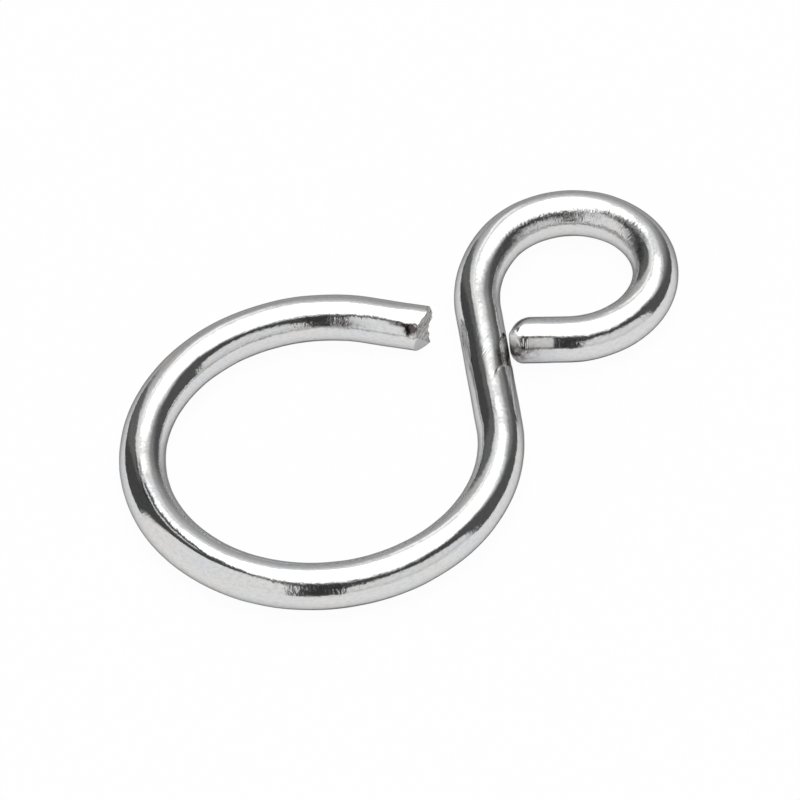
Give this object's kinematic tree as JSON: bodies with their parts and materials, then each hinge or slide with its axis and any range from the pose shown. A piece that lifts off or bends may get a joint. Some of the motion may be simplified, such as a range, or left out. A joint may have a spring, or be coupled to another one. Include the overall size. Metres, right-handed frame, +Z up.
{
  "type": "s hook",
  "caption": "S hook bent from round plated wire: a large open loop to hang from and a small closed eye to hold a chain or ring.",
  "frame": {"origin": "middle of the hook's outline seen from above, on the surface that it lies on", "axes": "+X from the centre of the large loop to the centre of the eye, +Z up, square to the plane of the hook"},
  "size_m": [0.0552, 0.0344, 0.004],
  "materials": {
    "plated_wire": "bright plated steel wire, slightly uneven, with small tool marks"
  },
  "bodies": {
    "root": {"s_hook": "plated_wire"}
  },
  "joints": []
}
